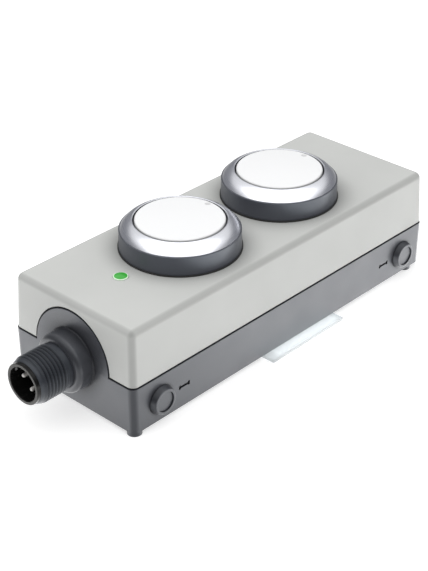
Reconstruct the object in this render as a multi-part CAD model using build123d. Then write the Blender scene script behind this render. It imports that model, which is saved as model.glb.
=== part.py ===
from build123d import *
import math
import os

os.makedirs("parts", exist_ok=True)

# Frame: X runs along the housing with the connector towards -X, Z is up and 0 at the feet.
# The origin is the middle of the housing's footprint.

# Housing outline, taken at the parting seam
housing_length = 108.0
housing_width = 40.0
corner_radius = 1.8
wall = 2.5
floor_thickness = 2.0
roof_thickness = 2.5
base_depth = 12.2
base_draft = 0.9
cover_height = 14.5
cover_draft = 2.3
cover_edge_radius = 1.75
cover_setback = 0.15
inner_corner_radius = 0.5
foot_height = 1.1
foot_radius = 1.8
foot_inset = 2.05
far_foot_inset = 4.25

# How far joined forms run into each other, and how far a cut runs past the surface that it opens
overlap = 1.0

# Parting seam: shadow gap outside, tongue and gasket inside
seam_gap = 0.42
tongue_thickness = 0.9
tongue_height = 1.5
tongue_clearance = 0.1
gasket_height = 0.8
arch_tongue_height = 0.7
arch_gasket_height = 0.5

# Half-round arch of the base around the connector
arch_radius = 12.0
boss_radius = 7.37
boss_length = 4.5
boss_root_radius = 0.4
boss_edge_radius = 1.4

# Housing screws, driven from below through posts
screw_end_inset = 16.0
screw_side_inset = 5.4
screw_radius = 1.5
screw_length = 18.0
screw_head_radius = 2.75
screw_head_height = 2.2
screw_head_recess = 2.6
screw_drive_radius = 1.3
screw_drive_depth = 1.2
screw_clearance = 0.25
pilot_clearance = 0.05
pilot_end_room = 0.5
base_post_radius = 4.2
cover_post_radius = 3.2
post_gap = 0.1

# Cross bores for side mounting, each end closed by a plug in a raised boss
cross_bore_inset = 8.8
cross_bore_drop = 6.6
cross_bore_radius = 2.25
cross_tube_radius = 3.5
side_boss_radius = 3.7
side_boss_rim_radius = 3.25
side_boss_edge_radius = 0.35
side_boss_height = 1.5
plug_radius = 2.5
plug_clearance = 0.07
plug_sink = 0.35
plug_head = 1.4
plug_shank_radius = 2.2
plug_shank_length = 4.2
side_mark_offset = 7.6
side_mark_length = 3.6
side_mark_width = 0.6
side_mark_end = 1.1
side_mark_depth = 0.35

# Clear plate under the base
plate_left = -9.8
plate_right = 17.2
plate_reach = 3.2
plate_back_inset = 4.0
plate_thickness = 0.6
plate_corner = 0.4
plate_clearance = 0.05
guide_wall = 1.0
guide_lip = 1.2
guide_lip_thickness = 0.35
guide_front_inset = 2.6

# Pushbuttons; heights count from the cover's top face
button_pitch = 36.0
button_travel = 2.0
collar_radius = 14.8
collar_top_inset = 0.1
collar_side_height = 4.95
collar_lip = 0.3
bezel_outer_height = 5.1
bezel_width = 3.1
bezel_rim_width = 0.25
bezel_rim_height = 7.4
bezel_rim_drop = 0.1
bezel_bulge = 0.3
bezel_thickness = 0.7
lens_gap = 0.35
lens_edge_height = 7.55
lens_crown = 0.25
lens_edge_radius = 0.5
lens_skirt_height = 3.6
lens_thickness = 1.8
lens_skirt_thickness = 1.45
dimple_radius = 0.65
dimple_depth = 0.2
dimple_inset = 1.35
well_floor_height = 1.6
barrel_inset = 3.9
barrel_wall = 1.5
barrel_depth = 7.3
panel_clearance = 0.1
web_top_depth = 4.8
web_thickness = 1.2
guide_outer_radius = 6.0
guide_rise = 0.2
plunger_radius = 4.0
running_clearance = 0.05
plunger_flange_clearance = 0.1
plunger_flange_thickness = 1.7
window_count = 4
window_angle = 58.0
window_clearance = 0.3

# Plunger seal, retaining clip and return spring
plunger_seal_section = 0.9
plunger_seal_depth = 3.0
seal_groove_clearance = 0.05
clip_thickness = 0.6
clip_radius = 5.4
clip_gap = 0.3
clip_groove_radius = 3.2
clip_opening = 5.0
clip_tail = 0.8
spring_wall_gap = 1.7
spring_wire_radius = 0.42
spring_turns = 4.0
spring_end_clearance = 0.05

# Collar seal and fixing nut
collar_seal_clearance = 0.2
collar_seal_outset = 0.25
collar_seal_thickness = 0.4
nut_wall = 2.5
nut_height = 2.8
nut_clearance = 0.05
nut_notch_count = 6
nut_notch_width = 3.0
nut_notch_depth = 1.0

# Circuit board and what stands on it
board_thickness = 1.6
board_underside = 10.6
board_wall_clearance = 1.0
board_end_gap = 0.8
board_corner = 1.0
board_post_clearance = 0.5
board_screw_inset = 6.0
board_post_radius = 2.7
board_screw_radius = 1.2
board_screw_length = 6.0
board_screw_head_radius = 2.2
board_screw_head_height = 1.5
board_screw_drive_depth = 0.75
switch_size = 12.0
switch_height = 5.0
switch_corner = 0.8
stem_radius = 1.6
stem_engagement = 2.0
stem_floor_clearance = 0.3
led_size = 2.8
led_height = 1.2
button_led_offset = 8.2
button_led_count = 4

# Components on the circuit board: length along X, width along Y, height, and place
controller_size = 8.0
controller_height = 1.2
driver_length = 5.0
driver_width = 6.0
driver_height = 1.5
coil_size = 6.0
coil_corner = 1.2
coil_height = 3.2
capacitor_radius = 2.5
capacitor_height = 5.4
end_component_inset = 6.5
end_component_offset = 6.0
regulator_length = 5.5
regulator_width = 4.0
regulator_height = 1.6
regulator_y = 8.0
regulator_post_gap = 0.5
diode_length = 4.0
diode_width = 3.0
diode_height = 1.8
diode_x_offset = 2.9
diode_y = -7.5

# Status lamp: a light pipe over a small lamp on the board
status_inset = 16.2
light_pipe_radius = 1.8
light_pipe_clearance = 0.05
light_pipe_rise = 0.15
light_pipe_dome = 0.3
light_pipe_flange = 0.9
light_pipe_flange_height = 0.9
light_pipe_gap = 0.3

# Round connector; lengths count outwards from the housing's end face
thread_radius = 5.97
thread_front = 12.0
thread_back = 6.0
nose_front = 13.8
nose_radius = 5.4
nose_edge = 0.25
neck_radius = 5.65
neck_step = 1.5
tail_radius = 4.85
tail_length = 5.0
shell_bore_radius = 4.8
shell_step = 5.5
shell_tail_bore = 3.95
connector_clearance = 0.05
seal_position = 3.05
seal_section = 0.72
seal_groove_width = 0.9
carrier_front = 14.8
carrier_lip_radius = 5.13
socket_radius = 4.27
socket_bottom = 6.5
carrier_edge_radius = 0.12
key_angle = 45.0
key_height = 0.75
key_width = 1.1
key_setback = 0.7
pin_circle_radius = 2.6
pin_radius = 0.5
pin_tip_radius = 0.4
pin_count = 4
pin_tip = 12.6
pin_clearance = 0.02
pin_tail = 0.3
connector_nut_flats = 12.6
connector_nut_height = 2.0

# Upright board behind the connector, and the header that joins it to the circuit board
connector_board_gap = 0.2
connector_board_thickness = 1.2
connector_board_margin = 0.2
connector_board_drop = 1.2
connector_board_rise = 6.7
header_margin = 1.0
header_depth = 2.4
header_height = 2.6
header_setback = 0.4
header_pin_size = 0.6
header_pin_spacing = 2.0
header_pin_offset = 6.0
header_pin_rise = 1.4
header_pin_tail = 0.15

# Levels and places that follow from the sizes above
seam_z = foot_height + base_depth
cover_top_z = seam_z + cover_height
roof_z = cover_top_z - roof_thickness
floor_z = foot_height + floor_thickness
cross_bore_z = seam_z - cross_bore_drop
board_top_z = board_underside + board_thickness
end_x = -housing_length / 2
inner_end_x = end_x + wall
screw_x = housing_length / 2 - screw_end_inset
screw_y = housing_width / 2 - screw_side_inset
cross_bore_x = housing_length / 2 - cross_bore_inset
side_boss_top = housing_width / 2 + side_boss_height
plug_face = side_boss_top - plug_sink
plate_back = housing_width / 2 - plate_back_inset
guide_front = guide_front_inset - housing_width / 2
status_x = end_x + status_inset
button_x = (-button_pitch / 2, button_pitch / 2)
screw_places = [(x, y) for x in (-screw_x, screw_x) for y in (-screw_y, screw_y)]
board_screw_y = housing_width / 2 - board_screw_inset
board_screw_places = [(0, -board_screw_y), (0, board_screw_y)]
gasket_floor_z = seam_z + tongue_height
gasket_top_z = gasket_floor_z + gasket_height
collar_top_radius = collar_radius - collar_top_inset
bezel_outer_radius = collar_top_radius - collar_lip
bezel_inner_radius = bezel_outer_radius - bezel_width
bezel_rim_radius = bezel_inner_radius + bezel_rim_width
lens_radius = bezel_inner_radius - lens_gap
dimple_offset = lens_radius - dimple_inset
barrel_radius = collar_radius - barrel_inset
barrel_bore = barrel_radius - barrel_wall
collar_seal_inner = barrel_radius + collar_seal_clearance
collar_seal_outer = collar_radius + collar_seal_outset
nut_radius = barrel_radius + nut_wall
spring_radius = barrel_bore - spring_wall_gap
bezel_slope = (bezel_rim_height - bezel_outer_height) / (bezel_outer_radius - bezel_rim_radius)
bezel_seat_low = bezel_outer_height - bezel_thickness
bezel_seat_high = bezel_seat_low + (bezel_outer_radius - bezel_inner_radius) * bezel_slope
lens_bore = lens_radius - lens_skirt_thickness
lens_underside = lens_edge_height - lens_thickness
flange_underside = lens_underside - plunger_flange_thickness
web_bottom_depth = web_top_depth + web_thickness
clip_top = -web_bottom_depth - clip_gap
plunger_bottom = clip_top - clip_thickness - clip_tail
guide_radius = plunger_radius + running_clearance
stem_top_z = cover_top_z + plunger_bottom
switch_top_z = board_top_z + switch_height
carrier_body_radius = shell_bore_radius - connector_clearance
carrier_tail_radius = shell_tail_bore - connector_clearance
connector_board_x = end_x + tail_length + connector_board_gap
board_left = connector_board_x + connector_board_thickness + board_end_gap
board_right = housing_length / 2 - wall - board_wall_clearance
header_pin_outer = header_pin_offset + header_pin_spacing
header_width = 2 * (header_pin_outer + header_margin)
connector_board_width = header_width + 2 * connector_board_margin
pin_back = tail_length + connector_board_gap + connector_board_thickness + pin_tail


def footprint(inset, z):
    radius = max(corner_radius - inset, inner_corner_radius)
    length = housing_length - 2 * inset
    width = housing_width - 2 * inset
    return Plane.XY.offset(z) * RectangleRounded(length, width, radius)


def upward(inset, bottom, top, draft):
    return extrude(footprint(inset, bottom), amount=top - bottom, taper=draft)


def ring_wall(outer_inset, inner_inset, bottom, top):
    return upward(outer_inset, bottom, top, 0) - upward(inner_inset, bottom - overlap, top + overlap, 0)


def revolve_z(points, x, z):
    face = Plane.XZ * make_face(Polyline(*points, close=True))
    return Pos(x, 0, z) * revolve(face, Axis.Z)


def revolve_x(points):
    # Points are (outward distance from the end face, radius from the connector's axis)
    outline = [(end_x - d, r) for d, r in points]
    face = Plane.XZ * make_face(Polyline(*outline, close=True))
    return Pos(0, 0, seam_z) * revolve(face, Axis.X)


def x_cylinder(radius, x_from, x_to, y=0.0, z=0.0):
    length = x_to - x_from
    return Pos((x_from + x_to) / 2, y, seam_z + z) * Rot(0, 90, 0) * Cylinder(radius, length)


def y_cylinder(radius, y_from, y_to, x, z):
    length = y_to - y_from
    return Pos(x, (y_from + y_to) / 2, z) * Rot(90, 0, 0) * Cylinder(radius, length)


def z_cylinder(radius, bottom, top, x=0.0, y=0.0):
    return Pos(x, y, (bottom + top) / 2) * Cylinder(radius, top - bottom)


def block(x_from, x_to, y_from, y_to, z_from, z_to):
    middle = Pos((x_from + x_to) / 2, (y_from + y_to) / 2, (z_from + z_to) / 2)
    return middle * Box(x_to - x_from, y_to - y_from, z_to - z_from)


def cover_form():
    # Drafted block with corners of one radius from the seam to the top, then the rounded top edge
    bottom = seam_z + seam_gap / 2
    sheet = Rectangle(housing_length - 2 * cover_setback, housing_width - 2 * cover_setback)
    body = extrude(Plane.XY.offset(bottom) * sheet, amount=cover_top_z - bottom, taper=cover_draft)
    upright = [edge for edge in body.edges() if abs((edge % 0.5).Z) > 0.9]
    body = fillet(upright, corner_radius)
    return fillet(body.faces().sort_by(Axis.Z)[-1].edges(), cover_edge_radius)


def above_seam(solid, z_from):
    half = housing_length
    return solid & block(-half, half, -half, half, z_from, cover_top_z)


def arch_plate():
    disc = x_cylinder(arch_radius, end_x - overlap, inner_end_x)
    form = extrude(footprint(0, seam_z - seam_gap / 2), amount=cover_height, taper=cover_draft)
    rim = x_cylinder(arch_radius + arch_tongue_height, inner_end_x - tongue_thickness, inner_end_x)
    return above_seam((disc & form) + rim, seam_z - seam_gap / 2)


def side_boss(x, side):
    # Profile in (radius, distance out from the housing's middle plane)
    face_y = housing_width / 2
    points = [(0, face_y - wall), (side_boss_radius, face_y - wall), (side_boss_radius, face_y)]
    points += [(side_boss_rim_radius, side_boss_top), (0, side_boss_top)]
    solid = revolve(Plane.XY * make_face(Polyline(*points, close=True)), Axis.Y)
    solid = fillet(solid.faces().sort_by(Axis.Y)[-1].edges(), side_boss_edge_radius)
    turn = Rot(180, 0, 0) if side < 0 else Rot(0, 0, 0)
    return Pos(x, 0, cross_bore_z) * turn * solid


def side_mark(x, side):
    # A shallow bar with wider ends, engraved beside each raised boss
    face_y = side * housing_width / 2
    inner_y = face_y - side * (side_mark_depth + cross_bore_drop * math.tan(math.radians(base_draft)))
    y_from, y_to = sorted((inner_y, face_y + side))
    half = side_mark_length / 2
    thin = side_mark_width / 2
    tall = side_mark_end / 2
    low = cross_bore_z
    bar = block(x - half, x + half, y_from, y_to, low - thin, low + thin)
    for end in (x - half, x + half - side_mark_width):
        bar += block(end, end + side_mark_width, y_from, y_to, low - tall, low + tall)
    return bar


def corner_feet():
    # Round feet in the corners; the far pair stands further in from the end
    foot_y = housing_width / 2 - foot_inset
    feet = Part()
    for x in (end_x + foot_inset, housing_length / 2 - far_foot_inset):
        for y in (-foot_y, foot_y):
            feet += z_cylinder(foot_radius, 0, foot_height + overlap, x, y)
    return feet


def connector_boss():
    boss = x_cylinder(boss_radius, end_x - boss_length, inner_end_x)
    return fillet(boss.faces().sort_by(Axis.X)[0].edges(), boss_edge_radius)


def boss_root_edges(shell):
    # The edges along which the boss meets the end face
    def on_root(edge):
        spots = [edge @ t for t in (0.1, 0.5, 0.9)]
        reach = [math.hypot(p.Y, p.Z - seam_z) for p in spots]
        near_face = all(abs(p.X - end_x) < overlap for p in spots)
        return near_face and all(abs(r - boss_radius) < 0.05 for r in reach)
    return [edge for edge in shell.edges() if on_root(edge)]


def base_shell():
    top = seam_z - seam_gap / 2
    outer = extrude(footprint(0, top), amount=top - foot_height, dir=(0, 0, -1), taper=base_draft)
    hollow = upward(wall, floor_z, cover_top_z, 0)
    shell = outer - hollow
    shell += corner_feet()
    shell += plate_guides()
    shell += ring_wall(wall - tongue_thickness, wall, top - overlap, gasket_floor_z)
    shell -= x_cylinder(arch_radius, inner_end_x, inner_end_x + overlap) & hollow
    shell += arch_plate()
    shell += connector_boss()
    shell = fillet(boss_root_edges(shell), boss_root_radius)
    half = housing_width / 2 - overlap
    for x in (-cross_bore_x, cross_bore_x):
        shell += y_cylinder(cross_tube_radius, -half, half, x, cross_bore_z)
        for side in (-1, 1):
            shell += side_boss(x, side)
            mark_x = math.copysign(cross_bore_x - side_mark_offset, x)
            shell -= side_mark(mark_x, side)
    for x, y in screw_places:
        post = z_cylinder(base_post_radius, floor_z - overlap, seam_z - post_gap, x, y)
        shell += post & upward(wall - overlap, 0, cover_top_z, 0)
    for x, y in board_screw_places:
        shell += z_cylinder(board_post_radius, floor_z - overlap, board_underside, x, y)
    return shell - base_holes()


def base_holes():
    holes = x_cylinder(neck_radius + connector_clearance, end_x - boss_length - overlap, end_x - neck_step)
    holes += x_cylinder(tail_radius + connector_clearance, end_x - neck_step - overlap, inner_end_x + overlap)
    outer = side_boss_top + overlap
    for x in (-cross_bore_x, cross_bore_x):
        holes += y_cylinder(cross_bore_radius, -outer, outer, x, cross_bore_z)
        for side in (-1, 1):
            y_from, y_to = sorted((side * (plug_face - plug_head), side * outer))
            holes += y_cylinder(plug_radius + plug_clearance, y_from, y_to, x, cross_bore_z)
    for x, y in screw_places:
        seat = foot_height + screw_head_recess
        holes += z_cylinder(screw_head_radius + screw_clearance, 0, seat, x, y)
        holes += z_cylinder(screw_radius + screw_clearance, 0, seam_z + overlap, x, y)
    for x, y in board_screw_places:
        bottom = board_top_z - board_screw_length - pilot_end_room
        radius = board_screw_radius + pilot_clearance
        holes += z_cylinder(radius, bottom, board_underside + overlap, x, y)
    return holes


def cover_shell():
    shell = cover_form() - upward(wall, seam_z - overlap, roof_z, cover_draft)
    shell -= upward(wall - tongue_thickness - tongue_clearance, seam_z - overlap, gasket_top_z, 0)
    opening = x_cylinder(arch_radius + seam_gap, end_x - overlap, inner_end_x + seam_gap)
    groove_radius = arch_radius + arch_tongue_height + arch_gasket_height
    groove_front = inner_end_x - tongue_thickness - tongue_clearance
    opening += x_cylinder(groove_radius, groove_front, inner_end_x + tongue_clearance)
    shell -= opening
    for x, y in screw_places:
        post = z_cylinder(cover_post_radius, seam_z, roof_z + overlap, x, y)
        shell += post & upward(wall + post_gap, seam_z, cover_top_z, 0)
        tip = foot_height + screw_head_recess + screw_length + pilot_end_room
        shell -= z_cylinder(screw_radius + pilot_clearance, 0, tip, x, y)
    for x in button_x:
        shell -= z_cylinder(barrel_radius + panel_clearance, roof_z - overlap, cover_top_z + overlap, x)
    bore = light_pipe_radius + light_pipe_clearance
    return shell - z_cylinder(bore, roof_z - overlap, cover_top_z + overlap, status_x)


def housing_gasket():
    strip = ring_wall(wall - tongue_thickness, wall, gasket_floor_z, gasket_top_z)
    rim_radius = arch_radius + arch_tongue_height
    front = inner_end_x - tongue_thickness
    strip -= x_cylinder(rim_radius, end_x - overlap, inner_end_x + overlap)
    hoop = x_cylinder(rim_radius + arch_gasket_height, front, inner_end_x)
    hoop -= x_cylinder(rim_radius, front - overlap, inner_end_x + overlap)
    return strip + above_seam(hoop, gasket_floor_z)


def housing_screws():
    screws = []
    for x, y in screw_places:
        seat = foot_height + screw_head_recess
        bottom = seat - screw_head_height
        head = z_cylinder(screw_head_radius, bottom, seat, x, y)
        shank = z_cylinder(screw_radius, seat, seat + screw_length, x, y)
        drive = Pos(x, y, bottom) * extrude(RegularPolygon(screw_drive_radius, 6), amount=screw_drive_depth)
        screws.append(head + shank - drive)
    return Compound(screws)


def board_screws():
    screws = []
    for x, y in board_screw_places:
        head = z_cylinder(board_screw_head_radius, board_top_z, board_top_z + board_screw_head_height, x, y)
        shank = z_cylinder(board_screw_radius, board_top_z - board_screw_length, board_top_z, x, y)
        top = board_top_z + board_screw_head_height
        drive = extrude(RegularPolygon(screw_drive_radius, 6), amount=board_screw_drive_depth)
        screws.append(head + shank - Pos(x, y, top - board_screw_drive_depth) * drive)
    return Compound(screws)


def side_plugs():
    neck = plug_face - plug_head
    plugs = []
    for x in (-cross_bore_x, cross_bore_x):
        for side in (-1, 1):
            head_y = sorted((side * neck, side * plug_face))
            shank_y = sorted((side * (neck - plug_shank_length), side * neck))
            head = y_cylinder(plug_radius, head_y[0], head_y[1], x, cross_bore_z)
            shank = y_cylinder(plug_shank_radius, shank_y[0], shank_y[1], x, cross_bore_z)
            plugs.append(head + shank)
    return Compound(plugs)


def clear_plate():
    front = -housing_width / 2 - plate_reach
    length = plate_right - plate_left
    depth = plate_back - front
    sheet = RectangleRounded(length, depth, plate_corner)
    middle = Pos((plate_left + plate_right) / 2, (front + plate_back) / 2, foot_height - plate_thickness)
    return middle * extrude(sheet, amount=plate_thickness)


def plate_guides():
    # Three low rails with an inward lip that carry the plate, open towards -Y
    left = plate_left - plate_clearance
    right = plate_right + plate_clearance
    back = plate_back + plate_clearance
    top = foot_height + overlap
    front = guide_front - overlap
    rails = block(left - guide_wall, right + guide_wall, guide_front, back + guide_wall, 0, top)
    rails -= block(left, right, front, back, -overlap, foot_height)
    lip_top = guide_lip_thickness
    lips = block(left - guide_wall, right + guide_wall, guide_front, back + guide_wall, 0, lip_top)
    lips -= block(left + guide_lip, right - guide_lip, front, back - guide_lip, -overlap, foot_height)
    return rails + lips


def circuit_board():
    half = housing_width / 2 - wall - board_wall_clearance
    sheet = RectangleRounded(board_right - board_left, 2 * half, board_corner)
    board = Pos((board_right + board_left) / 2, 0, board_underside) * extrude(sheet, amount=board_thickness)
    low = board_underside - overlap
    high = board_top_z + overlap
    for x, y in screw_places:
        radius = base_post_radius + board_post_clearance
        board -= z_cylinder(radius, low, high, x, y)
        edge_y = sorted((y, math.copysign(housing_width, y)))
        board -= block(x - radius, x + radius, edge_y[0], edge_y[1], low, high)
    for x, y in board_screw_places:
        board -= z_cylinder(board_screw_radius + screw_clearance, low, high, x, y)
    return board


def chip(x, y, length, width, height):
    return Pos(x, y, board_top_z + height / 2) * Box(length, width, height)


def board_components():
    end_part_x = board_right - end_component_inset
    offset = end_component_offset
    post_edge = base_post_radius + board_post_clearance - screw_x
    regulator_x = post_edge + regulator_post_gap + regulator_length / 2
    controller = chip(0, 0, controller_size, controller_size, controller_height)
    driver = chip(screw_x, 0, driver_length, driver_width, driver_height)
    coil_sheet = RectangleRounded(coil_size, coil_size, coil_corner)
    coil = Pos(end_part_x, offset, board_top_z) * extrude(coil_sheet, amount=coil_height)
    capacitor = z_cylinder(capacitor_radius, board_top_z, board_top_z + capacitor_height, end_part_x, -offset)
    regulator = chip(regulator_x, regulator_y, regulator_length, regulator_width, regulator_height)
    diode = chip(status_x - diode_x_offset, diode_y, diode_length, diode_width, diode_height)
    return Compound([controller, driver, coil, capacitor, regulator, diode])


def connector_board():
    x_to = connector_board_x + connector_board_thickness
    half = connector_board_width / 2
    bottom = board_underside - connector_board_drop
    board = block(connector_board_x, x_to, -half, half, bottom, seam_z + connector_board_rise)
    front = connector_board_x - overlap
    back = x_to + overlap
    for y, z in pin_places():
        board -= x_cylinder(pin_radius + pin_clearance, front, back, y, z)
    size = header_pin_size / 2 + pin_clearance
    z = board_top_z + header_pin_rise
    for y in header_pin_places():
        board -= block(front, back, y - size, y + size, z - size, z + size)
    return board


def header_pin_places():
    return [-header_pin_outer, -header_pin_offset, header_pin_offset, header_pin_outer]


def board_header():
    front = board_left + header_setback
    half = header_width / 2
    body = block(front, front + header_depth, -half, half, board_top_z, board_top_z + header_height)
    z = board_top_z + header_pin_rise
    size = header_pin_size / 2
    pin_end = connector_board_x - header_pin_tail
    for y in header_pin_places():
        body += block(pin_end, front + overlap, y - size, y + size, z - size, z + size)
    return body


def status_led():
    return chip(status_x, 0, led_size, led_size, led_height)


def dome_middle(radius, rise):
    # Height of a spherical cap at half its rim radius
    sphere = (radius ** 2 + rise ** 2) / (2 * rise)
    return math.sqrt(sphere ** 2 - (radius / 2) ** 2) - (sphere - rise)


def light_pipe():
    radius = light_pipe_radius
    bottom = board_top_z + led_height + light_pipe_gap
    edge = cover_top_z + light_pipe_rise
    dome_top = edge + light_pipe_dome
    flange_bottom = roof_z - light_pipe_flange_height
    flange_radius = radius + light_pipe_flange
    with BuildPart() as pipe:
        with BuildSketch(Plane.XZ):
            with BuildLine():
                Polyline((0, dome_top), (0, bottom), (radius, bottom), (radius, flange_bottom),
                         (flange_radius, flange_bottom), (flange_radius, roof_z),
                         (radius, roof_z), (radius, edge))
                ThreePointArc((radius, edge), (radius / 2, edge + dome_middle(radius, light_pipe_dome)),
                              (0, dome_top))
            make_face()
        revolve(axis=Axis.Z)
    return Pos(status_x, 0, 0) * pipe.part


def connector_shell():
    groove = seal_groove_width / 2
    groove_radius = neck_radius + connector_clearance - seal_section
    points = [(nose_front, shell_bore_radius), (nose_front, nose_radius - nose_edge)]
    points += [(nose_front - nose_edge, nose_radius), (thread_front, thread_radius)]
    points += [(thread_back, thread_radius), (thread_back, neck_radius)]
    points += [(seal_position + groove, neck_radius)]
    points += [(seal_position + groove, groove_radius), (seal_position - groove, groove_radius)]
    points += [(seal_position - groove, neck_radius), (neck_step, neck_radius), (neck_step, tail_radius)]
    points += [(-tail_length, tail_radius), (-tail_length, shell_tail_bore), (shell_step, shell_tail_bore)]
    points += [(shell_step, shell_bore_radius)]
    return revolve_x(points)


def connector_seal():
    minor = seal_section / 2
    major = neck_radius + connector_clearance - minor
    return Pos(end_x - seal_position, 0, seam_z) * Rot(0, 90, 0) * Torus(major, minor)


def connector_nut():
    radius = connector_nut_flats / 2 / math.cos(math.pi / 6)
    nut = Plane.YZ * extrude(RegularPolygon(radius, 6), amount=connector_nut_height)
    nut = Pos(inner_end_x, 0, seam_z) * nut
    back = inner_end_x + connector_nut_height + overlap
    return nut - x_cylinder(tail_radius + connector_clearance, inner_end_x - overlap, back)


def pin_places():
    step = 2 * math.pi / pin_count
    angles = [i * step for i in range(pin_count)]
    return [(pin_circle_radius * math.cos(a), pin_circle_radius * math.sin(a)) for a in angles]


def pin_carrier():
    rim = carrier_edge_radius
    lip = carrier_lip_radius
    points = [(carrier_front, socket_radius + rim), (carrier_front, lip - rim), (carrier_front - rim, lip)]
    points += [(nose_front, lip), (nose_front, carrier_body_radius), (shell_step, carrier_body_radius)]
    points += [(shell_step, carrier_tail_radius), (-tail_length, carrier_tail_radius), (-tail_length, 0)]
    points += [(socket_bottom, 0), (socket_bottom, socket_radius), (carrier_front - rim, socket_radius)]
    carrier = revolve_x(points)
    key_outer = socket_radius + (carrier_body_radius - socket_radius) / 2
    key = block(0, carrier_front - key_setback - socket_bottom, -key_width / 2, key_width / 2,
                socket_radius - key_height, key_outer)
    place = Pos(end_x - carrier_front + key_setback, 0, seam_z) * Rot(key_angle - 90, 0, 0)
    carrier += place * key
    front = end_x - socket_bottom - overlap
    back = end_x + tail_length + overlap
    for y, z in pin_places():
        carrier -= x_cylinder(pin_radius + pin_clearance, front, back, y, z)
    return carrier


def contact_pins():
    pins = []
    for y, z in pin_places():
        pin = x_cylinder(pin_radius, end_x - pin_tip, end_x + pin_back, y, z)
        pins.append(fillet(pin.faces().sort_by(Axis.X)[0].edges(), pin_tip_radius))
    return Compound(pins)


def collar(x):
    underside = collar_seal_thickness
    groove_top = -plunger_seal_depth
    groove_bottom = groove_top - plunger_seal_section - 2 * seal_groove_clearance
    groove_radius = guide_radius + plunger_seal_section
    points = [(collar_radius, underside), (collar_top_radius, collar_side_height)]
    points += [(bezel_outer_radius, bezel_outer_height), (bezel_outer_radius, bezel_seat_low)]
    points += [(bezel_inner_radius, bezel_seat_high)]
    points += [(bezel_inner_radius, well_floor_height), (barrel_bore, well_floor_height)]
    points += [(barrel_bore, -web_top_depth), (guide_outer_radius, -web_top_depth)]
    points += [(guide_outer_radius, guide_rise), (guide_radius, guide_rise), (guide_radius, groove_top)]
    points += [(groove_radius, groove_top), (groove_radius, groove_bottom), (guide_radius, groove_bottom)]
    points += [(guide_radius, -web_bottom_depth), (barrel_bore, -web_bottom_depth)]
    points += [(barrel_bore, -barrel_depth), (barrel_radius, -barrel_depth), (barrel_radius, underside)]
    return revolve_z(points, x, cover_top_z) - light_windows(x)


def light_windows(x):
    # Curved windows through the web that let the lamps shine up at the lens
    inner = guide_outer_radius + window_clearance
    outer = barrel_bore - window_clearance
    top = cover_top_z - web_top_depth + overlap
    bottom = cover_top_z - web_bottom_depth - overlap
    ring = z_cylinder(outer, bottom, top) - z_cylinder(inner, bottom, top)
    reach = 2 * outer
    half = math.radians(window_angle / 2)
    ends = [(reach * math.cos(a), reach * math.sin(a)) for a in (-half, half)]
    sector = extrude(make_face(Polyline((0, 0), *ends, close=True)), amount=top - bottom)
    window = ring & (Pos(0, 0, bottom) * sector)
    windows = Part()
    for i in range(window_count):
        windows += Rot(0, 0, i * 360 / window_count) * window
    return Pos(x, 0, 0) * windows


def bezel_ring(x):
    # The face bulges out between its outer edge and the rim
    run = bezel_outer_radius - bezel_rim_radius
    rise = bezel_rim_height - bezel_outer_height
    chord = math.hypot(run, rise)
    middle_radius = bezel_rim_radius + run / 2 + bezel_bulge * rise / chord
    middle_height = bezel_outer_height + rise / 2 + bezel_bulge * run / chord
    outer = (bezel_outer_radius, bezel_outer_height)
    rim = (bezel_rim_radius, bezel_rim_height)
    bulge = ThreePointArc(outer, (middle_radius, middle_height), rim)
    back = Polyline(rim, (bezel_inner_radius, bezel_rim_height - bezel_rim_drop),
                    (bezel_inner_radius, bezel_seat_high), (bezel_outer_radius, bezel_seat_low), outer)
    face = Plane.XZ * make_face(bulge + back)
    return Pos(x, 0, cover_top_z) * revolve(face, Axis.Z)


def lens_cap(x):
    edge = lens_edge_height
    corner = lens_edge_radius
    skirt = edge - lens_skirt_height
    top_radius = lens_radius - corner
    middle = corner * math.sqrt(0.5)
    crown_rise = dome_middle(top_radius, lens_crown)
    with BuildPart() as cap:
        with BuildSketch(Plane.XZ):
            with BuildLine():
                Polyline((0, edge + lens_crown), (0, lens_underside), (lens_bore, lens_underside),
                         (lens_bore, skirt), (lens_radius, skirt), (lens_radius, edge - corner))
                ThreePointArc((lens_radius, edge - corner), (top_radius + middle, edge - corner + middle),
                              (top_radius, edge))
                ThreePointArc((top_radius, edge), (top_radius / 2, edge + crown_rise), (0, edge + lens_crown))
            make_face()
        revolve(axis=Axis.Z)
    ball = (dimple_radius ** 2 + dimple_depth ** 2) / (2 * dimple_depth)
    dimple = Pos(dimple_offset, 0, edge - dimple_depth + ball) * Sphere(ball)
    return Pos(x, 0, cover_top_z) * (cap.part - dimple)


def plunger(x):
    flange_radius = lens_bore - plunger_flange_clearance
    points = [(0, lens_underside), (flange_radius, lens_underside), (flange_radius, flange_underside)]
    points += [(plunger_radius, flange_underside), (plunger_radius, clip_top)]
    points += [(clip_groove_radius, clip_top), (clip_groove_radius, clip_top - clip_thickness)]
    points += [(plunger_radius, clip_top - clip_thickness), (plunger_radius, plunger_bottom)]
    points += [(0, plunger_bottom)]
    return revolve_z(points, x, cover_top_z)


def plunger_clip(x):
    top = cover_top_z + clip_top
    ring = z_cylinder(clip_radius, top - clip_thickness, top, x)
    low = top - clip_thickness - overlap
    high = top + overlap
    ring -= z_cylinder(clip_groove_radius, low, high, x)
    half = clip_opening / 2
    return ring - block(x - half, x + half, -clip_radius - overlap, 0, low, high)


def plunger_seal(x):
    minor = plunger_seal_section / 2
    middle = cover_top_z - plunger_seal_depth - minor - seal_groove_clearance
    return Pos(x, 0, middle) * Torus(guide_radius + minor, minor)


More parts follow.
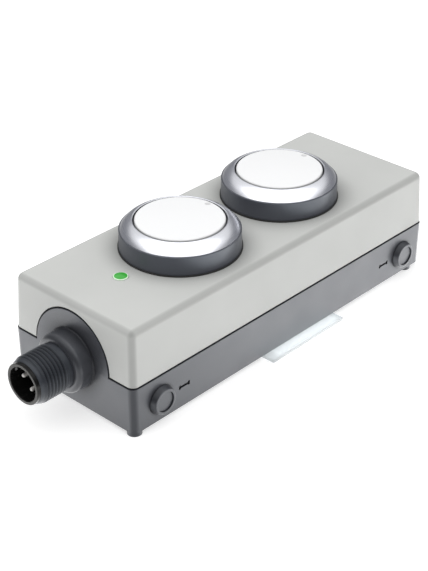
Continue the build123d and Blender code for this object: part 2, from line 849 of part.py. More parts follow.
def return_spring(x):
    low = -web_top_depth + spring_wire_radius + spring_end_clearance
    high = flange_underside - spring_wire_radius - spring_end_clearance
    height = high - low
    path = Helix(height / spring_turns, height, spring_radius)
    start = Plane(path @ 0, z_dir=path % 0)
    coil = sweep(start * Circle(spring_wire_radius), path=path)
    return Pos(x, 0, cover_top_z + low) * coil


def collar_seal(x):
    top = cover_top_z + collar_seal_thickness
    ring = z_cylinder(collar_seal_outer, cover_top_z, top, x)
    return ring - z_cylinder(collar_seal_inner, cover_top_z - overlap, top + overlap, x)


def fixing_nut(x):
    bottom = roof_z - nut_height
    low = bottom - overlap
    high = roof_z + overlap
    nut = z_cylinder(nut_radius, bottom, roof_z) - z_cylinder(barrel_radius + nut_clearance, low, high)
    half = nut_notch_width / 2
    notch = block(nut_radius - nut_notch_depth, nut_radius + overlap, -half, half, low, high)
    for i in range(nut_notch_count):
        nut -= Rot(0, 0, i * 360 / nut_notch_count) * notch
    return Pos(x, 0, 0) * nut


def switch_body(x):
    case = extrude(RectangleRounded(switch_size, switch_size, switch_corner), amount=switch_height)
    bore_bottom = stem_top_z - button_travel - stem_length() - stem_floor_clearance
    case = Pos(x, 0, board_top_z) * case
    return case - z_cylinder(stem_radius + running_clearance, bore_bottom, switch_top_z + overlap, x)


def stem_length():
    return stem_top_z - switch_top_z + stem_engagement


def switch_stem(x):
    return z_cylinder(stem_radius, stem_top_z - stem_length(), stem_top_z, x)


def button_leds(x):
    lamps = []
    for i in range(button_led_count):
        angle = 2 * math.pi * i / button_led_count
        lamp_x = x + button_led_offset * math.cos(angle)
        lamp_y = button_led_offset * math.sin(angle)
        lamps.append(chip(lamp_x, lamp_y, led_size, led_size, led_height))
    return Compound(lamps)


single_pieces = {
    "base_shell": base_shell,
    "cover_shell": cover_shell,
    "housing_gasket": housing_gasket,
    "housing_screws": housing_screws,
    "side_plugs": side_plugs,
    "clear_plate": clear_plate,
    "circuit_board": circuit_board,
    "board_components": board_components,
    "board_screws": board_screws,
    "connector_board": connector_board,
    "board_header": board_header,
    "status_led": status_led,
    "light_pipe": light_pipe,
    "connector_shell": connector_shell,
    "connector_seal": connector_seal,
    "connector_nut": connector_nut,
    "pin_carrier": pin_carrier,
    "contact_pins": contact_pins,
}

button_pieces = {
    "collar": collar,
    "bezel_ring": bezel_ring,
    "collar_seal": collar_seal,
    "fixing_nut": fixing_nut,
    "lens_cap": lens_cap,
    "plunger": plunger,
    "plunger_clip": plunger_clip,
    "plunger_seal": plunger_seal,
    "return_spring": return_spring,
    "switch_body": switch_body,
    "switch_stem": switch_stem,
    "button_leds": button_leds,
}

for name, make in single_pieces.items():
    export_step(make(), f"parts/{name}.step")

for name, make in button_pieces.items():
    for number, x in enumerate(button_x, start=1):
        export_step(make(x), f"parts/{name}_{number}.step")
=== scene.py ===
import bpy
import math
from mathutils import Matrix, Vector


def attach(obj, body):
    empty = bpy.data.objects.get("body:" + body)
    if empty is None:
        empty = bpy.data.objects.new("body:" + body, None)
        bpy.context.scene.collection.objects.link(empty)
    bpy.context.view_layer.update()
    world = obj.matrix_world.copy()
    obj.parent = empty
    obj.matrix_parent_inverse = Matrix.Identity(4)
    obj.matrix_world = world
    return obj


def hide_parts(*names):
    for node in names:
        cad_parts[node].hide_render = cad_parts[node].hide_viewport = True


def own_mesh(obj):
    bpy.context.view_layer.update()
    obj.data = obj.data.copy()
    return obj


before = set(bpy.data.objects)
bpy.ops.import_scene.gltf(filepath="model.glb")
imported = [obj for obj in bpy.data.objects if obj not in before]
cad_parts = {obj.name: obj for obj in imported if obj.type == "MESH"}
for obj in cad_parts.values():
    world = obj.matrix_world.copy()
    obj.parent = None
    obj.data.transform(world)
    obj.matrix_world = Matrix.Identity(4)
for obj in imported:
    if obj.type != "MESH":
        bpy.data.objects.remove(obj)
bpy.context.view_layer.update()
scene = bpy.context.scene

MM = 0.001

# The connector shell; its distances run outwards from the housing's end face
END_X = -54 * MM
AXIS_Z = 13.3 * MM
THREAD_RADIUS = 5.97 * MM
THREAD_DEPTH = 0.42 * MM
THREAD_PITCH = 1.0 * MM
THREAD_FRONT = 12.0 * MM
THREAD_BACK = 6.0 * MM
NOSE_FRONT = 13.8 * MM
NOSE_RADIUS = 5.4 * MM
NOSE_EDGE = 0.25 * MM
CONE_FRONT = NOSE_FRONT - NOSE_EDGE
NECK_RADIUS = 5.65 * MM
NECK_STEP = 1.5 * MM
TAIL_RADIUS = 4.85 * MM
TAIL_LENGTH = 5.0 * MM
SHELL_BORE = 4.8 * MM
SHELL_STEP = 5.5 * MM
SHELL_TAIL_BORE = 3.95 * MM
SHELL_SEGMENTS = 144
THREAD_ROWS = 144
SHARP_ANGLE = 40

# The boss round the connector, and the contact carrier's ring that faces out
BOSS_ROOT = 7.62 * MM
RING_X = END_X - 14.8 * MM

# Places on the housing's sides, the plate, the lamp and the button lenses
SIDE_BOSS_ROOT = 20 * MM
PLATE_LEFT = -9.8 * MM
PLATE_FRONT = -23.2 * MM
LAMP_CENTRE = (-37.8 * MM, 0, 28.0 * MM)
# A pale rim painted on the lamp's lens as a highlight
LAMP_RIM_HIGHLIGHT = (1.54 * MM, 1.62 * MM)
LENS_TOP = 35.5 * MM
# Painted shade round the button lenses' edges and in their dimples
LENS_EDGE_SHADE = 0.42
DIMPLE_OFFSET = 9.6 * MM
DIMPLE_RIM = (0.45 * MM, 0.85 * MM)
DIMPLE_SHADE = 0.72

# The buttons' numbers and places; on the real buttons the return springs stand on the barrel's web and
# shorten by the travel
BUTTON_X = ((1, -18 * MM), (2, 18 * MM))

# Scales of the noise and waves in the materials, per metre
PATCHES = 38.0
GLOSS_PATCHES = 140.0
METAL_PATCHES = 90.0
METAL_GLOSS = 400.0
BEZEL_PATCHES = 60.0
TURNING_MARKS = 9000.0
LENS_PATCHES = 55.0
LENS_GLOSS = 300.0
LENS_GRAIN = 2500.0
PLATE_HAZE = 120.0
PLATE_GLOSS = 200.0
PLATE_RIPPLE = 60.0
CARRIER_GRAIN = 4000.0
SHELL_GRAIN = 4500.0
LAMP_GLOSS = 500.0
WEAVE = 900.0

# Where moulded plastic gets painted shade: how open a corner is, how far a face turns to the long sides,
# the product of two parts of the direction on a rounded edge, the step from a side to what stands proud
# of it, and the painted shade line at the root of the connector's boss
CORNER_OPENNESS = (0.4, 0.95)
LONG_SIDE_TILT = (0.4, 0.9)
EDGE_PRODUCT = (0.12, 0.45)
PROUD_STEP = 0.25 * MM
ROOT_LINE_SHADE = 0.74
RING_WIDTH = (0.12 * MM, 0.26 * MM)
RING_END = (END_X + 2 * MM, END_X + 3 * MM)

# Milkiness and painted shade of the clear plate: denser with painted shade on its top from the left end
# inwards, milky with painted shade on its cut edges, and a painted shade line on its front band
PLATE_TOP = ((0.55, 0.27), (PLATE_LEFT, PLATE_LEFT + 4.5 * MM))
PLATE_EDGES = 0.8
PLATE_EDGE_TILT = (0.2, 0.8)
PLATE_BAND = (PLATE_FRONT + 0.35 * MM, PLATE_FRONT + 0.7 * MM)
PLATE_BAND_SHADE = 0.5
PLATE_END_SHADE = (PLATE_LEFT, PLATE_LEFT + 5 * MM)
PLATE_MIRRORED = 0.1

WHITE = (1.0, 1.0, 1.0)

# The viewer's side and the right-hand side, as unit vectors on the floor
TOWARD = Vector((-0.741, -0.671, 0))
ACROSS = Vector((0.671, -0.741, 0))

# The floor: its grey, what the camera sees, and the light that it gives off in bands across the view.
# Each has two levels and the distances or places between which they change. Three of them have the
# places towards the viewer between which the band begins as well.
FLOOR_TONE = 0.62
FLOOR_HALF = 1.6
FLOOR_DROP = 0.02 * MM
FLOOR_SEEN = 0.6
GLOSSY_FLOOR_FAR = ((FLOOR_TONE, 0.35), (0.14, 0.30))
GLOSSY_RIGHT = ((1.1, 3.25), (-0.024, 0.022), (-0.08, -0.05))
GLOSSY_LEFT = ((1.3, 0), (-0.045, -0.016), (-0.02, 0.01))
GLOSSY_FALL = ((1, 0.06), (0.12, 0.19))
SOFT_RIGHT = ((0.08, 0.65), (-0.02, 0.11))
SOFT_LEFT = ((0.32, 0), (-0.07, -0.03), (-0.02, 0.01))

# The ring of dim cards
CARD_RADIUS = 0.95
CARD_HEIGHT = 0.52
CARD_COUNT = 48
CARD_COLOUR = (0.9, 0.92, 1.0)
CARD_LEVEL = 0.26

# The world's soft light: level by direction, dimmer from the front, with more from the left
AMBIENT = ((0.70, 0.16), (-0.4, 0.5))
AMBIENT_LEFT = ((0.0, 0.5), (0.45, 0.95))

# The overhead softbox
OVERHEAD_PLACE = TOWARD * 0.15 + Vector((0, 0, 0.52))
OVERHEAD_TARGET = (0, 0, 0.03)
OVERHEAD_WIDTH = 1.25
OVERHEAD_DEPTH = 0.70
OVERHEAD_LEVEL = 1.29

# The camera, solved from the photograph; the shift is half a pixel of its frame
SENSOR_WIDTH = 36
FOCAL_LENGTH = 92.8874
HALF_PIXEL = 0.5 / 571
CAMERA_PLACE = (-0.2370118, -0.2146290, 0.2017911)
CAMERA_TURN = (58.8486, -0.0291, -47.0875)


# Node trees
class Nodes:
    """Short calls for the nodes used here, in the tree of a material or of the world."""

    def __init__(self, tree):
        self.tree = tree

    def node(self, kind, **values):
        made = self.tree.nodes.new(kind)
        for key, value in values.items():
            setattr(made, key, value)
        return made

    def put(self, socket, value):
        """Links an output to the socket, or sets a plain value on it."""
        if isinstance(value, bpy.types.NodeSocket):
            self.tree.links.new(value, socket)
        else:
            socket.default_value = value

    def math(self, operation, *values):
        made = self.node("ShaderNodeMath", operation=operation)
        for socket, value in zip(made.inputs, values):
            self.put(socket, value)
        return made.outputs["Value"]

    def vector(self, operation, output, *values):
        made = self.node("ShaderNodeVectorMath", operation=operation)
        for socket, value in zip(made.inputs, values):
            self.put(socket, value)
        return made.outputs[output]

    def parts(self, vector):
        """The X, Y and Z of a vector."""
        made = self.node("ShaderNodeSeparateXYZ")
        self.put(made.inputs["Vector"], vector)
        return made.outputs

    def spread(self, source, low, high, start=0.3, stop=0.7):
        """Maps the source from start and stop to low and high, and holds it there beyond them."""
        made = self.node("ShaderNodeMapRange")
        self.put(made.inputs["From Min"], start)
        self.put(made.inputs["From Max"], stop)
        self.put(made.inputs["To Min"], low)
        self.put(made.inputs["To Max"], high)
        self.put(made.inputs["Value"], source)
        return made.outputs["Result"]

    def choose(self, factor, first, second):
        """A number that goes from the first to the second with the factor."""
        made = self.node("ShaderNodeMix", data_type="FLOAT")
        self.put(made.inputs["Factor"], factor)
        self.put(made.inputs["A"], first)
        self.put(made.inputs["B"], second)
        return made.outputs["Result"]

    def blend(self, factor, first, second):
        """A shader that goes from the first to the second with the factor."""
        made = self.node("ShaderNodeMixShader")
        self.put(made.inputs["Fac"], factor)
        self.put(made.inputs[1], first)
        self.put(made.inputs[2], second)
        return made.outputs["Shader"]

    def ray(self, kind):
        return self.node("ShaderNodeLightPath").outputs[f"Is {kind} Ray"]


class Graph(Nodes):
    """A material's node tree, with its shader and the coordinates of its object."""

    def __init__(self, name):
        self.material = bpy.data.materials.new(name)
        self.material.use_nodes = True
        super().__init__(self.material.node_tree)
        self.shader = self.tree.nodes["Principled BSDF"]
        self.coordinates = self.node("ShaderNodeTexCoord").outputs["Object"]

    def set(self, **values):
        """Sets or links the shader's sockets, whose names have _ for a space."""
        for key, value in values.items():
            self.put(self.shader.inputs[key.replace("_", " ")], value)

    def surface(self, shader):
        self.put(self.tree.nodes["Material Output"].inputs["Surface"], shader)

    def through(self, tint=WHITE):
        made = self.node("ShaderNodeBsdfTransparent")
        made.inputs["Color"].default_value = (*tint, 1)
        return made.outputs["BSDF"]

    def facing(self):
        """The X, Y and Z of the surface's direction."""
        return self.parts(self.node("ShaderNodeNewGeometry").outputs["Normal"])

    def noise(self, scale, detail=2.0, roughness=0.5, vector=None):
        made = self.node("ShaderNodeTexNoise")
        made.inputs["Scale"].default_value = scale
        made.inputs["Detail"].default_value = detail
        made.inputs["Roughness"].default_value = roughness
        self.put(made.inputs["Vector"], vector or self.coordinates)
        return made.outputs["Fac"]

    def shade(self, source, dark, light):
        made = self.node("ShaderNodeMix", data_type="RGBA")
        made.inputs["A"].default_value = (*dark, 1)
        made.inputs["B"].default_value = (*light, 1)
        self.put(made.inputs["Factor"], source)
        return made.outputs["Result"]

    def mottled(self, colour, scale, detail, dark=0.965, light=1.035):
        """A colour in broad patches of two close tones."""
        patches = self.spread(self.noise(scale, detail), 0, 1)
        return self.shade(patches, tone(colour, dark), tone(colour, light))

    def relief(self, source, distance, edge=None):
        """Bumps of a height, on edges that are rounded by a radius."""
        made = self.node("ShaderNodeBump")
        made.inputs["Distance"].default_value = distance
        self.put(made.inputs["Height"], source)
        if edge is not None:
            rounded = self.node("ShaderNodeBevel", samples=4)
            rounded.inputs["Radius"].default_value = edge
            self.put(made.inputs["Normal"], rounded.outputs["Normal"])
        return made.outputs["Normal"]

    def painted_corner_shade(self, reach, low, alone):
        """Painted shade: falls from 1 on open faces to a low value where surfaces meet in a corner."""
        made = self.node("ShaderNodeAmbientOcclusion", samples=6, only_local=alone)
        self.put(made.inputs["Distance"], reach)
        return self.spread(made.outputs["AO"], low, 1, *CORNER_OPENNESS)

    def line_distance(self, point, across):
        """Distance from a line through the point; across is 1 for the axes square to the line."""
        place = self.vector("SUBTRACT", "Vector", self.coordinates, point)
        flat = self.vector("MULTIPLY", "Vector", place, across)
        return self.vector("LENGTH", "Value", flat)

    def connector_distance(self):
        return self.line_distance((0, 0, AXIS_Z), (0, 1, 1))

    def scaled(self, colour, factor):
        made = self.node("ShaderNodeVectorMath", operation="SCALE")
        self.put(made.inputs[0], colour)
        self.put(made.inputs["Scale"], factor)
        return made.outputs["Vector"]

    def times(self, first, second):
        return self.math("MULTIPLY", first, second)


def tone(colour, factor):
    return tuple(c * factor for c in colour)


# Materials
def moulded(name, colour, roughness, grain=0.22 * MM, depth=0.012 * MM, edge=0.15 * MM, specular=0.5,
            reach=3 * MM, side_reach=None, low=0.5, rim=1.0, edges=(), alone=True, sheen=WHITE,
            proud=None, ring=None):
    """Moulded plastic: fine spark-eroded grain, uneven colour and gloss, painted shade where faces meet.

    The painted shade darkens colour and reflections, reaches out from a corner by reach, or by side_reach
    on the long sides, and leaves out what stands further out than proud. Rounded edges between two
    directions get painted shade to the tone rim, and ring is the radius of a painted shade line round the
    connector.
    """
    g = Graph(name)
    tint = g.mottled(colour, PATCHES, 3.0)
    axes = g.facing()
    if side_reach is not None:
        reach = g.spread(g.math("ABSOLUTE", axes["Y"]), reach, side_reach, *LONG_SIDE_TILT)
    # Painted shade where faces meet, darkening the colour and the reflections
    shadow = g.painted_corner_shade(reach, low, alone)
    if proud is not None:
        outwards = g.math("ABSOLUTE", g.parts(g.coordinates)["Y"])
        shadow = g.math("MAXIMUM", shadow, g.spread(outwards, 0, 1, proud, proud + PROUD_STEP))
    # A painted shade line at the root of the connector's boss
    if ring is not None:
        off_ring = g.math("ABSOLUTE", g.math("SUBTRACT", g.connector_distance(), ring))
        root_line_shade = g.spread(off_ring, ROOT_LINE_SHADE, 1, *RING_WIDTH)
        inwards = g.spread(g.parts(g.coordinates)["X"], 0, 1, *RING_END)
        shadow = g.times(shadow, g.math("MAXIMUM", root_line_shade, inwards))
    # Painted shade along the rounded edges
    for first, second in edges:
        between = g.math("ABSOLUTE", g.times(axes[first], axes[second]))
        shadow = g.times(shadow, g.spread(between, 1, rim, *EDGE_PRODUCT))
    g.set(
        Base_Color=g.scaled(tint, shadow),
        Specular_IOR_Level=g.spread(shadow, 0, specular, low, 1),
        Specular_Tint=(*sheen, 1),
        Roughness=g.spread(g.noise(GLOSS_PATCHES, 4.0), roughness - 0.05, roughness + 0.05),
        Normal=g.relief(g.noise(1.0 / grain, 2.0, 0.6), depth, edge),
    )
    return g.material


def metal(name, colour, roughness, grain=0.2 * MM, depth=0.004 * MM, edge=0.1 * MM, metallic=1.0):
    """Plated or machined metal with a fine uneven surface."""
    g = Graph(name)
    g.set(
        Base_Color=g.mottled(colour, METAL_PATCHES, 3.0, 0.94, 1.05),
        Metallic=metallic,
        Roughness=g.spread(g.noise(METAL_GLOSS, 4.0), roughness - 0.05, roughness + 0.06),
        Normal=g.relief(g.noise(1.0 / grain, 2.0), depth, edge),
    )
    return g.material


def turned(name, colour, roughness, centre_x):
    """Satin metal turned on a lathe: very fine concentric marks about the button's axis."""
    g = Graph(name)
    ring = g.node("ShaderNodeCombineXYZ")
    g.put(ring.inputs["X"], g.line_distance((centre_x, 0, 0), (1, 1, 0)))
    lines = g.noise(TURNING_MARKS, 3.0, 0.7, ring.outputs["Vector"])
    g.set(
        Base_Color=g.mottled(colour, BEZEL_PATCHES, 2.0, 0.97, 1.03),
        Metallic=1.0,
        Roughness=g.spread(lines, roughness - 0.05, roughness + 0.07),
        Normal=g.relief(lines, 0.0006 * MM, 0.18 * MM),
    )
    return g.material


def lens(name, colour, glow, centre_x):
    """Smooth translucent plastic over lamps, with painted shade round its edge and in its small dimple.
    """
    g = Graph(name)
    # Painted shade on the lens's rounded edge and in its dimple
    edge = g.spread(g.facing()["Z"], LENS_EDGE_SHADE, 1, 0.4, 0.99)
    dimple_centre = (centre_x + DIMPLE_OFFSET, 0, LENS_TOP)
    from_dimple = g.vector("DISTANCE", "Value", g.coordinates, dimple_centre)
    dimple = g.spread(from_dimple, DIMPLE_SHADE, 1, *DIMPLE_RIM)
    shaded = g.scaled(g.mottled(colour, LENS_PATCHES, 2.0, 0.995, 1.0), g.times(edge, dimple))
    g.set(
        Base_Color=shaded,
        Emission_Color=shaded,
        Emission_Strength=glow,
        Roughness=g.spread(g.noise(LENS_GLOSS, 3.0), 0.29, 0.31),
        Normal=g.relief(g.noise(LENS_GRAIN, 2.0), 0.002 * MM, 0.1 * MM),
    )
    return g.material


def clear(name, tint, body):
    """Clear sheet plastic: its faces let most light through, its edges are milkier, and painted shade
    greys its left end, its cut edges and a band along its front.
    """
    g = Graph(name)
    flat = g.math("ABSOLUTE", g.facing()["Z"])
    place = g.parts(g.coordinates)
    # Denser towards the left end, to carry the painted shade there
    top_levels, top_places = PLATE_TOP
    top = g.spread(place["X"], *top_levels, *top_places)
    faces = g.spread(flat, PLATE_EDGES, top, *PLATE_EDGE_TILT)
    # The front band is made denser to show a painted shade line
    band = g.spread(place["Y"], 1, 0, *PLATE_BAND)
    milk_and_shade = g.math("MAXIMUM", faces, g.spread(band, 0, PLATE_BAND_SHADE, 0, 1))
    density = g.times(milk_and_shade, g.spread(g.noise(PLATE_HAZE, 2.0), 0.97, 1.03))
    density = g.times(density, g.spread(g.ray("Glossy"), 1, PLATE_MIRRORED, 0, 1))
    # Painted shade: the left end darker, and the cut edges and the front band a little darker
    end = g.spread(place["X"], 0, 1, *PLATE_END_SHADE)
    painted_edge_shade = g.times(g.spread(flat, 0.86, 1, *PLATE_EDGE_TILT), g.spread(band, 1, 0.9, 0, 1))
    g.set(
        Base_Color=g.scaled(g.shade(end, tone(body, 0.78), body), painted_edge_shade),
        Roughness=g.spread(g.noise(PLATE_GLOSS, 3.0), 0.38, 0.44),
        Normal=g.relief(g.noise(PLATE_RIPPLE, 2.0), 0.001 * MM),
    )
    g.surface(g.blend(density, g.through(tint), g.shader.outputs["BSDF"]))
    return g.material


def insulator(name, colour, lit_ring_colour):
    """Black contact carrier: glossy round its lip, matt on the ring that faces out, which has painted
    light making it paler.
    """
    g = Graph(name)
    # Painted light: the ring that faces out is paler than the rest of the same black plastic
    outwards = g.spread(g.facing()["X"], 1, 0, -0.9, -0.6)
    outermost = g.spread(g.parts(g.coordinates)["X"], 1, 0, RING_X, RING_X + 0.3 * MM)
    front = g.times(outwards, outermost)
    g.set(
        Base_Color=g.shade(front, colour, lit_ring_colour),
        Roughness=g.spread(front, 0.22, 0.55, 0, 1),
        Specular_IOR_Level=g.spread(front, 0.12, 0.3, 0, 1),
        Normal=g.relief(g.noise(CARRIER_GRAIN, 2.0), 0.004 * MM, 0.1 * MM),
    )
    return g.material


def threaded(name, colour, roughness, specular, sheen):
    """Plastic like the base's, with painted shade and duller reflections down in the grooves of the
    thread.
    """
    g = Graph(name)
    along = g.parts(g.coordinates)["X"]
    # Painted shade in the grooves, left out on the nose and behind the thread
    crest = g.spread(g.connector_distance(), 0, 1, THREAD_RADIUS - 0.8 * THREAD_DEPTH, THREAD_RADIUS)
    nose = g.spread(along, 1, 0, END_X - CONE_FRONT, END_X - THREAD_FRONT)
    neck = g.spread(along, 0, 1, END_X - THREAD_BACK - 0.1 * MM, END_X - THREAD_BACK)
    crest = g.math("MAXIMUM", g.math("MAXIMUM", crest, nose), neck)
    g.set(
        Base_Color=g.scaled(g.mottled(colour, PATCHES, 3.0), g.spread(crest, 0.6, 1, 0, 1)),
        Specular_IOR_Level=g.spread(crest, 0.15, specular, 0, 1),
        Specular_Tint=(*sheen, 1),
        Roughness=g.spread(g.noise(GLOSS_PATCHES, 4.0), roughness - 0.05, roughness + 0.05),
        Normal=g.relief(g.noise(SHELL_GRAIN, 2.0, 0.6), 0.008 * MM, 0.1 * MM),
    )
    return g.material


def laminate(name, colour, roughness):
    """Circuit board: solder resist with a faint weave under it."""
    g = Graph(name)
    threads = []
    for direction in "XY":
        wave = g.node("ShaderNodeTexWave", bands_direction=direction)
        wave.inputs["Scale"].default_value = WEAVE
        g.put(wave.inputs["Vector"], g.coordinates)
        threads.append(wave.outputs["Fac"])
    weave = g.times(*threads)
    g.set(
        Base_Color=g.shade(weave, tone(colour, 0.85), tone(colour, 1.1)),
        Roughness=roughness,
        Normal=g.relief(weave, 0.01 * MM),
    )
    return g.material


def lamp(name, colour, rim_highlight_colour, glow):
    """Lens of the status lamp, lit from within, with a pale rim painted on as a highlight."""
    g = Graph(name)
    from_centre = g.vector("DISTANCE", "Value", g.coordinates, LAMP_CENTRE)
    # Painted highlight on the rim
    tint = g.shade(g.spread(from_centre, 0, 1, *LAMP_RIM_HIGHLIGHT), colour, rim_highlight_colour)
    g.set(
        Base_Color=tint,
        Emission_Color=tint,
        Emission_Strength=glow,
        Roughness=g.spread(g.noise(LAMP_GLOSS, 2.0), 0.14, 0.22),
    )
    return g.material


# All moulded plastics get painted shade in corners; the cover and base also along rounded edges, and the
# base in a line round the connector's boss
cover_plastic = moulded("cover plastic", (0.560, 0.568, 0.552), 0.52, specular=0.35, reach=6 * MM,
                        low=0.6, rim=0.79, edges=("XY", "XZ", "YZ"), alone=False)
base_plastic = moulded("base plastic", (0.0455, 0.0475, 0.055), 0.38, reach=4.5 * MM, side_reach=0.9 * MM,
                       low=0.24, rim=0.72, edges=("XY", "XZ"), sheen=(0.93, 0.96, 1.0),
                       proud=SIDE_BOSS_ROOT, ring=BOSS_ROOT)
collar_plastic = moulded("collar plastic", (0.066, 0.069, 0.083), 0.36, edge=0.2 * MM, low=0.75,
                         sheen=(0.84, 0.93, 1.0))
black_plastic = moulded("black plastic", (0.018, 0.018, 0.019), 0.42, edge=0.1 * MM)
part_plastic = moulded("component plastic", (0.02, 0.02, 0.022), 0.45)
lamp_plastic = moulded("lamp plastic", (0.75, 0.72, 0.6), 0.2)
seal_rubber = moulded("seal rubber", (0.016, 0.016, 0.016), 0.62)
screw_steel = metal("screw steel", (0.55, 0.55, 0.54), 0.3)
spring_steel = metal("spring steel", (0.55, 0.55, 0.56), 0.25)
contact_metal = metal("contact metal", (0.80, 0.78, 0.75), 0.55, metallic=0.1)
shell_plastic = threaded("shell plastic", (0.028, 0.031, 0.038), 0.40, 0.34, sheen=(0.90, 0.95, 1.0))
clear_plastic = clear("clear plastic", (0.97, 0.985, 0.99), (0.92, 0.96, 0.98))
carrier_plastic = insulator("carrier plastic", (0.006, 0.006, 0.006), (0.030, 0.029, 0.027))
board_resist = laminate("board laminate", (0.02, 0.13, 0.06), 0.35)
green_lens = lamp("green lens", (0.040, 0.36, 0.040), (0.66, 0.84, 0.64), 0.15)

finishes = {
    "base_shell": base_plastic,
    "cover_shell": cover_plastic,
    "housing_gasket": seal_rubber,
    "housing_screws": screw_steel,
    "side_plugs": base_plastic,
    "clear_plate": clear_plastic,
    "circuit_board": board_resist,
    "board_components": part_plastic,
    "board_screws": screw_steel,
    "connector_board": board_resist,
    "board_header": part_plastic,
    "status_led": lamp_plastic,
    "light_pipe": green_lens,
    "connector_shell": shell_plastic,
    "connector_seal": seal_rubber,
    "connector_nut": screw_steel,
    "pin_carrier": carrier_plastic,
    "contact_pins": contact_metal,
}
for number, centre in BUTTON_X:
    white_lens = lens(f"white lens {number}", (0.87, 0.875, 0.88), 0.04, centre)
    finishes[f"collar_{number}"] = collar_plastic
    finishes[f"bezel_ring_{number}"] = turned(f"bezel metal {number}", (0.68, 0.69, 0.73), 0.29, centre)
    finishes[f"collar_seal_{number}"] = seal_rubber
    finishes[f"fixing_nut_{number}"] = black_plastic
    finishes[f"lens_cap_{number}"] = white_lens
    finishes[f"plunger_{number}"] = white_lens
    finishes[f"plunger_clip_{number}"] = spring_steel
    finishes[f"plunger_seal_{number}"] = seal_rubber
    finishes[f"return_spring_{number}"] = spring_steel
    finishes[f"switch_body_{number}"] = part_plastic
    finishes[f"switch_stem_{number}"] = black_plastic
    finishes[f"button_leds_{number}"] = lamp_plastic

for node, material in finishes.items():
    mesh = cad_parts[node].data
    mesh.materials.clear()
    mesh.materials.append(material)


def placed(name, data):
    """A new object in the scene, made of the mesh, light or camera."""
    made = bpy.data.objects.new(name, data)
    scene.collection.objects.link(made)
    return made


# Connector shell with its thread
def thread_radius(distance, angle):
    """Radius of the threaded surface at a distance out from the end face; the cone cuts the crests."""
    turn = (distance / THREAD_PITCH - angle / (2 * math.pi)) % 1.0
    groove = 0.5 - 0.5 * math.cos(2 * math.pi * turn)
    run_in = min(max((distance - THREAD_BACK) / (0.5 * THREAD_PITCH), 0.0), 1.0)
    along_cone = max(distance - THREAD_FRONT, 0.0) / (CONE_FRONT - THREAD_FRONT)
    cone = THREAD_RADIUS - (THREAD_RADIUS - NOSE_RADIUS) * along_cone
    return min(cone, THREAD_RADIUS - THREAD_DEPTH * groove * run_in)


def connector_shell():
    """The shell as closed loops round its axis; a loop with no radius follows the thread."""
    loops = [(NOSE_FRONT, NOSE_RADIUS - NOSE_EDGE)]
    for i in range(THREAD_ROWS + 1):
        loops.append((CONE_FRONT + (THREAD_BACK - CONE_FRONT) * i / THREAD_ROWS, None))
    loops += [
        (THREAD_BACK, NECK_RADIUS),
        (NECK_STEP, NECK_RADIUS),
        (NECK_STEP, TAIL_RADIUS),
        (-TAIL_LENGTH, TAIL_RADIUS),
        (-TAIL_LENGTH, SHELL_TAIL_BORE),
        (SHELL_STEP, SHELL_TAIL_BORE),
        (SHELL_STEP, SHELL_BORE),
        (NOSE_FRONT, SHELL_BORE),
    ]
    verts = []
    for distance, radius in loops:
        for s in range(SHELL_SEGMENTS):
            angle = 2 * math.pi * s / SHELL_SEGMENTS
            r = thread_radius(distance, angle) if radius is None else radius
            verts.append((END_X - distance, r * math.cos(angle), AXIS_Z + r * math.sin(angle)))
    faces = []
    for i in range(len(loops)):
        this = i * SHELL_SEGMENTS
        after = (i + 1) % len(loops) * SHELL_SEGMENTS
        for s in range(SHELL_SEGMENTS):
            t = (s + 1) % SHELL_SEGMENTS
            faces.append((this + s, after + s, after + t, this + t))
    mesh = bpy.data.meshes.new("threaded_shell")
    mesh.from_pydata(verts, [], faces)
    mesh.validate()
    mesh.shade_smooth()
    mesh.set_sharp_from_angle(angle=math.radians(SHARP_ANGLE))
    mesh.materials.append(shell_plastic)
    return placed("threaded_shell", mesh)


shell = connector_shell()
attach(shell, "housing")
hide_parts("connector_shell")


# Return springs, copied from the solids into meshes of their own
def return_spring(number):
    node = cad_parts[f"return_spring_{number}"]
    bpy.context.view_layer.update()
    mesh = node.data.copy()
    mesh.transform(node.matrix_world)
    coil = placed(f"coil_spring_{number}", mesh)
    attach(coil, "housing")
    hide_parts(f"return_spring_{number}")
    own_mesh(coil)


for number, centre in BUTTON_X:
    return_spring(number)


# Floor, light and background
def floor_material():
    """Pale floor that bounces more light from the sides than from the front, see-through from below."""
    g = Graph("floor")
    across = g.vector("DOT_PRODUCT", "Value", g.coordinates, ACROSS)
    toward = g.vector("DOT_PRODUCT", "Value", g.coordinates, TOWARD)
    away = g.vector("LENGTH", "Value", g.coordinates)

    def band(levels, places, begins):
        return g.times(g.spread(across, *levels, *places), g.spread(toward, 0, 1, *begins))

    def by(source, levels, places):
        return g.spread(source, *levels, *places)

    glossy = g.times(g.math("ADD", band(*GLOSSY_RIGHT), band(*GLOSSY_LEFT)), by(away, *GLOSSY_FALL))
    soft = g.math("ADD", by(across, *SOFT_RIGHT), band(*SOFT_LEFT))
    bounced = g.choose(g.ray("Diffuse"), glossy, soft)
    g.set(
        Base_Color=g.choose(g.ray("Glossy"), FLOOR_TONE, by(away, *GLOSSY_FLOOR_FAR)),
        Roughness=0.9,
        Specular_IOR_Level=0.1,
        Emission_Color=(*WHITE, 1),
        Emission_Strength=g.choose(g.ray("Camera"), bounced, FLOOR_SEEN),
    )
    from_below = g.node("ShaderNodeNewGeometry").outputs["Backfacing"]
    g.surface(g.blend(from_below, g.shader.outputs["BSDF"], g.through()))
    return g.material


def card_material():
    """Dim grey for polished surfaces only; everything else passes through."""
    g = Graph("card")
    dim = g.node("ShaderNodeEmission")
    dim.inputs["Color"].default_value = (*CARD_COLOUR, 1)
    dim.inputs["Strength"].default_value = CARD_LEVEL
    g.surface(g.blend(g.ray("Glossy"), g.through(), dim.outputs["Emission"]))
    return g.material


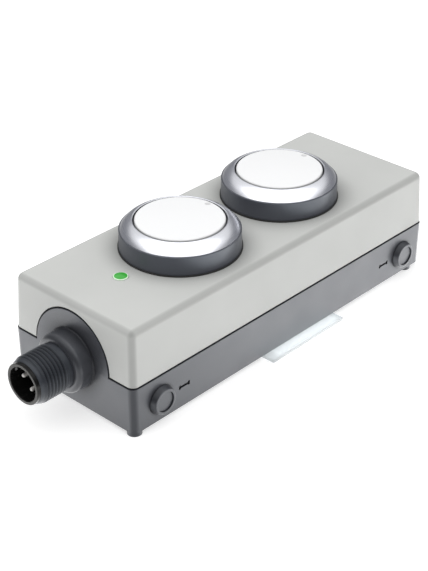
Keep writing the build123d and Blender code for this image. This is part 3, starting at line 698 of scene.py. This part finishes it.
def make_cards():
    """Ring of dim cards round the table, which gives metal and satin plastic their darker tones."""
    verts = []
    for z in (0, CARD_HEIGHT):
        for i in range(CARD_COUNT):
            angle = 2 * math.pi * i / CARD_COUNT
            verts.append((CARD_RADIUS * math.cos(angle), CARD_RADIUS * math.sin(angle), z))
    faces = []
    for i in range(CARD_COUNT):
        j = (i + 1) % CARD_COUNT
        faces.append((i, j, CARD_COUNT + j, CARD_COUNT + i))
    mesh = bpy.data.meshes.new("cards")
    mesh.from_pydata(verts, [], faces)
    mesh.materials.append(card_material())
    return placed("cards", mesh)


def make_floor():
    half = FLOOR_HALF
    corners = [(-half, -half, 0), (half, -half, 0), (half, half, 0), (-half, half, 0)]
    mesh = bpy.data.meshes.new("floor")
    mesh.from_pydata(corners, [], [(0, 1, 2, 3)])
    mesh.materials.append(floor_material())
    made = placed("floor", mesh)
    made.location = (0, 0, -FLOOR_DROP)
    return made


def softbox(name, place, target, width, depth, level):
    light = bpy.data.lights.new(name, "AREA")
    light.shape = "RECTANGLE"
    light.size = width
    light.size_y = depth
    light.energy = level * math.pi * width * depth
    made = placed(name, light)
    made.location = place
    made.rotation_mode = "QUATERNION"
    made.rotation_quaternion = (Vector(target) - Vector(place)).to_track_quat("-Z", "Y")
    return made


def make_world():
    """White for what the camera and polished surfaces see; soft light, dimmer from the front."""
    world = bpy.data.worlds.new("studio")
    world.use_nodes = True
    world.node_tree.nodes.clear()
    g = Nodes(world.node_tree)
    direction = g.node("ShaderNodeTexCoord").outputs["Generated"]

    def by_direction(vector, levels, places):
        return g.spread(g.vector("DOT_PRODUCT", "Value", direction, vector), *levels, *places)

    def background(level):
        made = g.node("ShaderNodeBackground")
        made.inputs["Color"].default_value = (*WHITE, 1)
        g.put(made.inputs["Strength"], level)
        return made.outputs["Background"]

    soft = background(g.math("ADD", by_direction(TOWARD, *AMBIENT), by_direction(-ACROSS, *AMBIENT_LEFT)))
    seen = g.math("MAXIMUM", g.math("MAXIMUM", g.ray("Camera"), g.ray("Glossy")), g.ray("Transmission"))
    output = g.node("ShaderNodeOutputWorld")
    g.put(output.inputs["Surface"], g.blend(seen, soft, background(1.0)))
    scene.world = world


make_world()
overhead = softbox("overhead_light", OVERHEAD_PLACE, OVERHEAD_TARGET, OVERHEAD_WIDTH, OVERHEAD_DEPTH,
                   OVERHEAD_LEVEL)
stage_pieces = [make_floor(), make_cards(), overhead]

# Camera
camera_data = bpy.data.cameras.new("camera")
camera_data.sensor_width = SENSOR_WIDTH
camera_data.lens = FOCAL_LENGTH
camera_data.shift_x = -HALF_PIXEL
camera_data.shift_y = HALF_PIXEL
camera_data.clip_start = 0.01
camera = placed("camera", camera_data)
camera.location = CAMERA_PLACE
camera.rotation_euler = [math.radians(a) for a in CAMERA_TURN]
scene.camera = camera

scene.view_settings.view_transform = "Standard"
